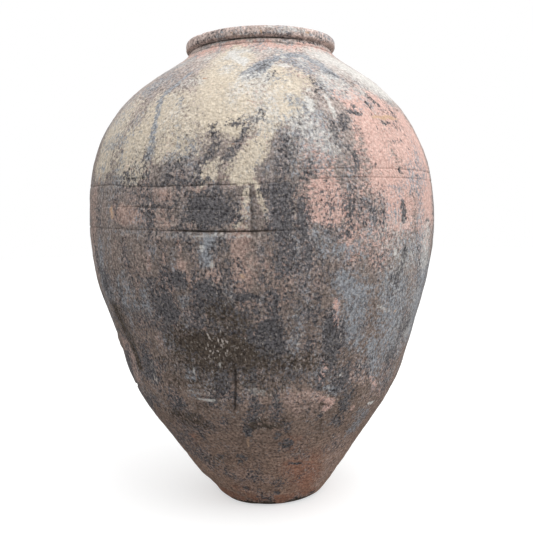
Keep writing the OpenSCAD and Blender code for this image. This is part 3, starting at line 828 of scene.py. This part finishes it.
        (.7, 1, 4, [(47.5, 386)]), (.7, .9, 4, [(-5, 462)]), (.5, 1.2, 8, [(-58, 632), (-59, 622)]),
        (.6, .7, 10, [(-8, 165), (-8.5, 155)]), (.5, 1, 6, [(25, 108)]), (.5, 2, 3, [(-8, 669)]),
        (.6, 1, 5, [(0, 888), (1, 880)]), (.6, 2.5, 4, [(36, 885)]), (.5, 1, 4, [(-20, 880)]),
        (.9, 1.2, 2, [(-21, 785)]), (.8, 3, 4, [(128, 690)]), (.7, 1.2, 7, [(-150, 560)])],
    "red_clay": [
        (.8, 16, 40, [(22, 90), (30, 50)]), (.6, 4, 10, [(-37, 162)]), (.5, 4, 6, [(-35, 30), (-32, 28)]),
        (.5, 12, 16, [(-10, 20), (-20, 40)]), (.4, 10, 25, [(15, 150)]),
        (.6, 20, 40, [(150, 80)]), (.5, 20, 40, [(-150, 60)])],
}


HABIT = {  # how much of a finish is scattered everywhere, by height in mm
    "soot": [(0, .3), (16, .2), (34, .2), (150, .24), (240, .32), (330, .4), (480, .34), (560, .3),
             (620, .24), (700, .1), (760, .1), (893, .14)],
    "ash": [(0, .04), (200, .12), (280, .22), (420, .26), (600, .22), (700, .16), (893, .2)],
    # Painted shade: char is near full below about 10 mm all round, standing for the contact shadow where the jar meets
    # the floor; higher up it is the jar's own dark patches.
    "char": [(0, .95), (4, .7), (10, .2), (26, .05), (200, .06), (330, .1), (480, .04), (620, 0), (893, 0)],
    "red_clay": [(0, .9), (18, .7), (34, 0), (893, 0)],
    "scuffed": [(0, .12), (180, .16), (240, .24), (350, .24), (480, .16), (620, .1), (700, 0), (893, 0)],
    "rose": [(0, .26), (150, .2), (250, .28), (500, .3), (620, .24), (700, .1), (893, 0)],
    "salmon": [(0, 0), (300, .05), (600, .1), (893, .1)],
    "pale": [(0, .02), (400, .04), (600, .08), (700, .12), (800, .24), (850, .26), (862, .1), (893, .1)],
}


def paint(piece, azimuth, height, here, deep, skin):
    """Writes one number per point and finish onto the piece: how fully the finish covers."""
    bend_x = 8 * cloud(here, .045, 21) + 6 * cloud(here, .018, 22) + 4 * cloud(here, .008, 23)
    bend_y = 7 * cloud(here, .045, 24) + 6 * cloud(here, .018, 25) + 4 * cloud(here, .008, 26)
    radius = np.maximum(np.hypot(here[:, 0], here[:, 1]), .05) * 1000
    for finish, patches in PATCHES.items():
        cover = np.zeros(len(height))
        for amount, half_deg, half_mm, path in patches:
            calm = min(1, half_deg / 3, half_mm / 9)
            low = min(h for _, h in path) - 1.7 * half_mm - 12
            high = max(h for _, h in path) + 1.7 * half_mm + 12
            near = np.nonzero((height > low) & (height < high))[0]
            if len(near):
                far = near_path(azimuth[near] + calm * np.degrees(bend_x[near] / radius[near]),
                                height[near] + calm * bend_y[near], half_deg, half_mm, path)
                cover[near] = np.maximum(cover[near], amount * (1 - soft_step(.1, 1.7, far)))
        if finish in HABIT:
            seed = 27 + len(finish)
            drift = (1 + 1.2 * cloud(here, .07, seed) + .9 * cloud(here, .025, seed + 20)
                     + 1.4 * cloud(here, (.018, .018, .07), seed + 40))
            if finish == "soot":
                drift *= along_round([(-180, 1), (18, 1), (36, .6), (70, .55), (100, 1), (180, 1)],
                                     azimuth)
            cover = np.maximum(cover, along_round(HABIT[finish], height) * np.clip(drift, 0, 2.4))
        write(piece, finish, np.clip(cover, 0, 1) * skin)
    # The hollow value is darkness to paint: dirt and painted shade in cracks and pits, and painted shade only under the
    # rim lip.
    write(piece, "hollow", np.clip((deep - .25) / 3, 0, 1))
    write(piece, "skin", skin)


def write(piece, name, values):
    layer = piece.data.attributes.new(name, "FLOAT", "POINT")
    layer.data.foreach_set("value", values.astype(np.float32))


for name, piece in pieces.items():
    paint(piece, *placed[name])
print({finish: len(patches) for finish, patches in PATCHES.items()})

# %% [markdown]
# ## Grain
# Fired clay has a grain of a few millimetres, from grit and from crust that flaked off.
# It is made once as a node group, from noise on Object coordinates, so that it runs on
# over the seams from piece to piece. The colours, the roughness and the bump all use it.

# %% Grain group


def new_group(name, inputs, outputs):
    """An empty shader node group. A socket is (name, kind, default)."""
    group = bpy.data.node_groups.new(name, "ShaderNodeTree")
    for in_out, sockets in (("INPUT", inputs), ("OUTPUT", outputs)):
        for label, kind, default in sockets:
            socket = group.interface.new_socket(label, in_out=in_out,
                                                socket_type="NodeSocket" + kind)
            if default is not None:
                socket.default_value = default
    return group, group.nodes.new("NodeGroupInput"), group.nodes.new("NodeGroupOutput")


def stretched_noise(tree, place, size_mm, detail, rough, low, high, squash=(1, 1, 1), shift=0):
    """Noise of a grain size in mm, stretched to fill 0 to 1."""
    spread = node(tree, "Mapping")
    spread.inputs["Scale"].default_value = squash
    spread.inputs["Location"].default_value = (shift, shift / 2, shift / 3)
    noise = node(tree, "TexNoise", Scale=1000 / size_mm, Detail=detail, Roughness=rough)
    widen = node(tree, "MapRange")
    widen.inputs["From Min"].default_value, widen.inputs["From Max"].default_value = low, high
    tree.links.new(place, spread.inputs["Vector"])
    tree.links.new(spread.outputs[0], noise.inputs["Vector"])
    tree.links.new(noise.outputs["Fac"], widen.inputs["Value"])
    return widen.outputs["Result"]


GRAINS = {  # size in mm, octaves, roughness, low and high end, stretch, shift
    "Salt": (4.3, 2, .6, .32, .68, (1, 1, .85), 5.3),
    "Fine": (5, 3, .6, .33, .67), "Medium": (16, 5, .65, .33, .67), "Broad": (75, 4, .6, .35, .65),
    "Flakes A": (5, 3, .7, .36, .64, (1, 1, .75)), "Flakes B": (4.6, 3, .72, .36, .64, (1, 1, .75), 3.1),
    "Flakes C": (5.6, 4, .75, .36, .64, (1, 1, .75), 7.7),
    "Combed": (5.2, 3, .7, .36, .64, (.7, .7, 1.4)), "Specks": (4.2, 1, .5, .62, .72),
    "Scratches": (4, 2, .6, .24, .46, (1, 1, .25), 1.7)}
grain, _, ends = new_group("clay_grain", [], [(n, "Float", None) for n in GRAINS])
place = node(grain, "TexCoord").outputs["Object"]
for label, values in GRAINS.items():
    grain.links.new(stretched_noise(grain, place, *values), ends.inputs[label])
print("grain gives", [s.name for s in ends.inputs if s.name])

# %% [markdown]
# ## One layer over another
# A finish lies over the one below it as a crust that has flaked: full in the middle of
# its patch and broken into ever fewer grains towards its edge. Where the coverage is
# higher than the grain, the finish shows, so a coverage of a half leaves half of the
# grains. The same small group serves every layer.

# %% Layer group
layer, starts, ends = new_group(
    "flaked_layer",
    [("Under", "Color", (.5, .5, .5, 1)), ("Over", "Color", (.8, .8, .8, 1)), ("Coverage", "Float", 0),
     ("Grain", "Float", .5), ("Edge", "Float", .12)],
    [("Color", "Color", None), ("Mask", "Float", None)])
level = node(layer, "MapRange")
low_edge = node(layer, "Math", operation="SUBTRACT")
high_edge = node(layer, "Math", operation="ADD")
opposite = node(layer, "Math", operation="SUBTRACT")
opposite.inputs[0].default_value = 1
keep = node(layer, "MapRange", interpolation_type="SMOOTHSTEP")
mix = node(layer, "Mix", data_type="RGBA")
link = layer.links.new
link(starts.outputs["Grain"], level.inputs["Value"])
link(starts.outputs["Edge"], level.inputs["To Min"])
link(starts.outputs["Edge"], opposite.inputs[1])
link(opposite.outputs[0], level.inputs["To Max"])
link(level.outputs[0], low_edge.inputs[0])
link(level.outputs[0], high_edge.inputs[0])
link(starts.outputs["Edge"], low_edge.inputs[1])
link(starts.outputs["Edge"], high_edge.inputs[1])
link(starts.outputs["Coverage"], keep.inputs["Value"])
link(low_edge.outputs[0], keep.inputs["From Min"])
link(high_edge.outputs[0], keep.inputs["From Max"])
link(keep.outputs[0], mix.inputs["Factor"])
link(starts.outputs["Under"], mix.inputs[6])
link(starts.outputs["Over"], mix.inputs[7])
link(mix.outputs[2], ends.inputs["Color"])
link(keep.outputs[0], ends.inputs["Mask"])
print("a layer takes", [i.name for i in starts.outputs if i.name])

# %% [markdown]
# ## The skin of the jar
# The layers are stacked in the order in which they came: brown clay first, then bare
# rose clay, the cream crust, salmon, the ash bloom, soot, pale dust and rusty flecks;
# near the right edge the pale layer is also a painted sheen of light from the right.
# Cracks and pits are darkened last, partly as dirt in them and partly as painted shade;
# under the rim lip the darkening is painted shade only. The group gives a colour, a roughness
# and a height; the shader itself stays in each material.

# %% Skin group


def srgb(r, g, b):
    """A colour as a painter's eye reads it (0 to 255), turned into the light it sends back."""
    return tuple(c / 12.92 if c <= .04045 else ((c + .055) / 1.055) ** 2.4
                 for c in (r / 255, g / 255, b / 255)) + (1,)


LAYERS = [  # finish, colour of its light and of its dark grains, grain of its edge, edge
    ("red_clay", srgb(184, 138, 116), srgb(138, 100, 84), "Medium", .35),
    ("rose", srgb(206, 179, 167), srgb(136, 114, 106), "Flakes C", .2),
    ("cream", srgb(224, 212, 194), srgb(196, 182, 163), "Flakes A", .22),
    ("salmon", srgb(228, 195, 184), srgb(198, 160, 149), "Combed", .22),
    ("ash", srgb(178, 181, 186), srgb(112, 114, 120), "Flakes C", .2),
    ("soot", srgb(124, 121, 123), srgb(48, 46, 50), "Flakes B", .18),
    # Char at the very foot is painted contact shadow; elsewhere it is dark patches of the clay.
    ("char", srgb(106, 94, 84), srgb(54, 46, 40), "Flakes A", .2),
    ("scuffed", srgb(208, 198, 190), srgb(172, 160, 152), "Scratches", .15),
    ("pale", srgb(226, 223, 218), srgb(200, 197, 192), "Flakes A", .3),
    ("ochre", srgb(208, 178, 152), srgb(182, 148, 124), "Flakes B", .25),
]
skin_group, starts, ends = new_group(
    "fired_skin",
    [("Clay Low", "Color", (.3, .2, .15, 1)), ("Clay High", "Color", (.3, .25, .2, 1)),
     ("From Height", "Float", 0), ("To Height", "Float", 1)],
    [("Color", "Color", None), ("Roughness", "Float", None), ("Height", "Float", None)])
link = skin_group.links.new
grains = skin_group.nodes.new("ShaderNodeGroup")
grains.node_tree = grain
place = node(skin_group, "TexCoord")
split = node(skin_group, "SeparateXYZ")
rise = node(skin_group, "MapRange")
clay_mix = node(skin_group, "Mix", data_type="RGBA")
link(place.outputs["Object"], split.inputs[0])
link(split.outputs["Z"], rise.inputs["Value"])
link(starts.outputs["From Height"], rise.inputs["From Min"])
link(starts.outputs["To Height"], rise.inputs["From Max"])
link(rise.outputs[0], clay_mix.inputs["Factor"])
link(starts.outputs["Clay Low"], clay_mix.inputs[6])
link(starts.outputs["Clay High"], clay_mix.inputs[7])


def shade(tree, colour, grain_out, low, high):
    """A colour made darker and lighter by a grain, between two brightnesses."""
    amount = node(tree, "MapRange")
    amount.inputs["To Min"].default_value, amount.inputs["To Max"].default_value = low, high
    times = node(tree, "VectorMath", operation="SCALE")
    tree.links.new(grain_out, amount.inputs["Value"])
    tree.links.new(colour, times.inputs[0])
    tree.links.new(amount.outputs[0], times.inputs["Scale"])
    return times.outputs[0]


colour = shade(skin_group, clay_mix.outputs[2], grains.outputs["Medium"], .85, 1.15)
colour = shade(skin_group, colour, grains.outputs["Salt"], .5, 1.6)
colour = shade(skin_group, colour, grains.outputs["Broad"], .9, 1.1)
masks = {}
for finish, light, dark, grain_name, edge in LAYERS:
    cover = node(skin_group, "Attribute", attribute_name=finish)
    two = node(skin_group, "Mix", data_type="RGBA")
    two.inputs[6].default_value, two.inputs[7].default_value = dark, light
    link(grains.outputs["Salt"], two.inputs["Factor"])
    coat = skin_group.nodes.new("ShaderNodeGroup")
    coat.node_tree = layer
    coat.inputs["Edge"].default_value = edge
    link(colour, coat.inputs["Under"])
    link(two.outputs[2], coat.inputs["Over"])
    link(cover.outputs["Fac"], coat.inputs["Coverage"])
    link(grains.outputs[grain_name], coat.inputs["Grain"])
    colour, masks[finish] = coat.outputs["Color"], coat.outputs["Mask"]
colour = shade(skin_group, colour, grains.outputs["Fine"], .82, 1.14)
light_specks = node(skin_group, "Mix", data_type="RGBA")
light_specks.inputs[7].default_value = srgb(190, 180, 170)
some = node(skin_group, "Math", operation="MULTIPLY")
some.inputs[1].default_value = .35
link(grains.outputs["Specks"], some.inputs[0])
link(some.outputs[0], light_specks.inputs["Factor"])
link(colour, light_specks.inputs[6])
# Near-black mixed in by the hollow value: partly dirt in cracks and pits, partly painted shade there, and only painted
# shade under the rim lip.
hollow = node(skin_group, "Attribute", attribute_name="hollow")
dirt_and_shade = node(skin_group, "Mix", data_type="RGBA")
dirt_and_shade.inputs[7].default_value = srgb(44, 38, 34)
dirt_and_shade_share = node(skin_group, "Math", operation="MULTIPLY")
dirt_and_shade_share.inputs[1].default_value = .85
link(hollow.outputs["Fac"], dirt_and_shade_share.inputs[0])
link(dirt_and_shade_share.outputs[0], dirt_and_shade.inputs["Factor"])
link(light_specks.outputs[2], dirt_and_shade.inputs[6])
link(dirt_and_shade.outputs[2], ends.inputs["Color"])

rough = node(skin_group, "MapRange")
rough.inputs["To Min"].default_value, rough.inputs["To Max"].default_value = .78, .95
link(grains.outputs["Medium"], rough.inputs["Value"])
link(rough.outputs[0], ends.inputs["Roughness"])
relief = grains.outputs["Fine"]
for source, weight in ((grains.outputs["Medium"], .8), (grains.outputs["Specks"], .4),
                       (masks["cream"], .35), (masks["salmon"], .25), (masks["soot"], -.15)):
    add = node(skin_group, "Math", operation="MULTIPLY_ADD")
    add.inputs[1].default_value = weight
    link(source, add.inputs[0])
    link(relief, add.inputs[2])
    relief = add.outputs[0]
link(relief, ends.inputs["Height"])
print("layers from the clay up:", [row[0] for row in LAYERS])

# %% [markdown]
# ## Four finishes
# The foot, the body, the shoulder and the rim share the skin and differ in the clay
# underneath: warm brown at the foot, grey-brown where the wall was smoked, paler on the
# shoulder. Each starts with the colour that the one below ends with, so no join shows.

# %% Materials
FINISHES = {  # clay at the low end, clay at the high end, the two heights
    "clay_foot": (srgb(158, 130, 114), srgb(128, 111, 101), 0, .231),
    "clay_body": (srgb(128, 111, 101), srgb(136, 126, 121), .231, .626),
    "clay_shoulder": (srgb(136, 126, 121), srgb(182, 168, 161), .626, .862),
    "clay_rim": (srgb(182, 168, 161), srgb(192, 173, 166), .862, .893),
}
SLOTS = {"base_disc": "clay_foot", "foot_cone": "clay_foot", "lower_wall": "clay_body",
         "belly_coil_1": "clay_body", "belly_coil_2": "clay_body", "belly_coil_3": "clay_body",
         "belly_coil_4": "clay_body", "shoulder": "clay_shoulder", "neck_collar": "clay_rim",
         "rim_roll": "clay_rim"}
finish_of = {}
for slot, (low, high, start, end) in FINISHES.items():
    material = finish_of[slot] = bpy.data.materials.new(slot)
    material.use_nodes = True
    tree = material.node_tree
    coat = tree.nodes.new("ShaderNodeGroup")
    coat.node_tree = skin_group
    coat.inputs["Clay Low"].default_value, coat.inputs["Clay High"].default_value = low, high
    coat.inputs["From Height"].default_value, coat.inputs["To Height"].default_value = start, end
    shader = tree.nodes["Principled BSDF"]
    shader.inputs["Specular IOR Level"].default_value = .25
    bump = node(tree, "Bump", Strength=.75, Distance=.0017)
    tree.links.new(coat.outputs["Color"], shader.inputs["Base Color"])
    tree.links.new(coat.outputs["Roughness"], shader.inputs["Roughness"])
    tree.links.new(coat.outputs["Height"], bump.inputs["Height"])
    tree.links.new(bump.outputs["Normal"], shader.inputs["Normal"])
for name, piece in pieces.items():
    piece.data.materials.append(finish_of[SLOTS[name]])
    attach(piece, "root")
    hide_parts(name)
print("finishes:", sorted(finish_of))
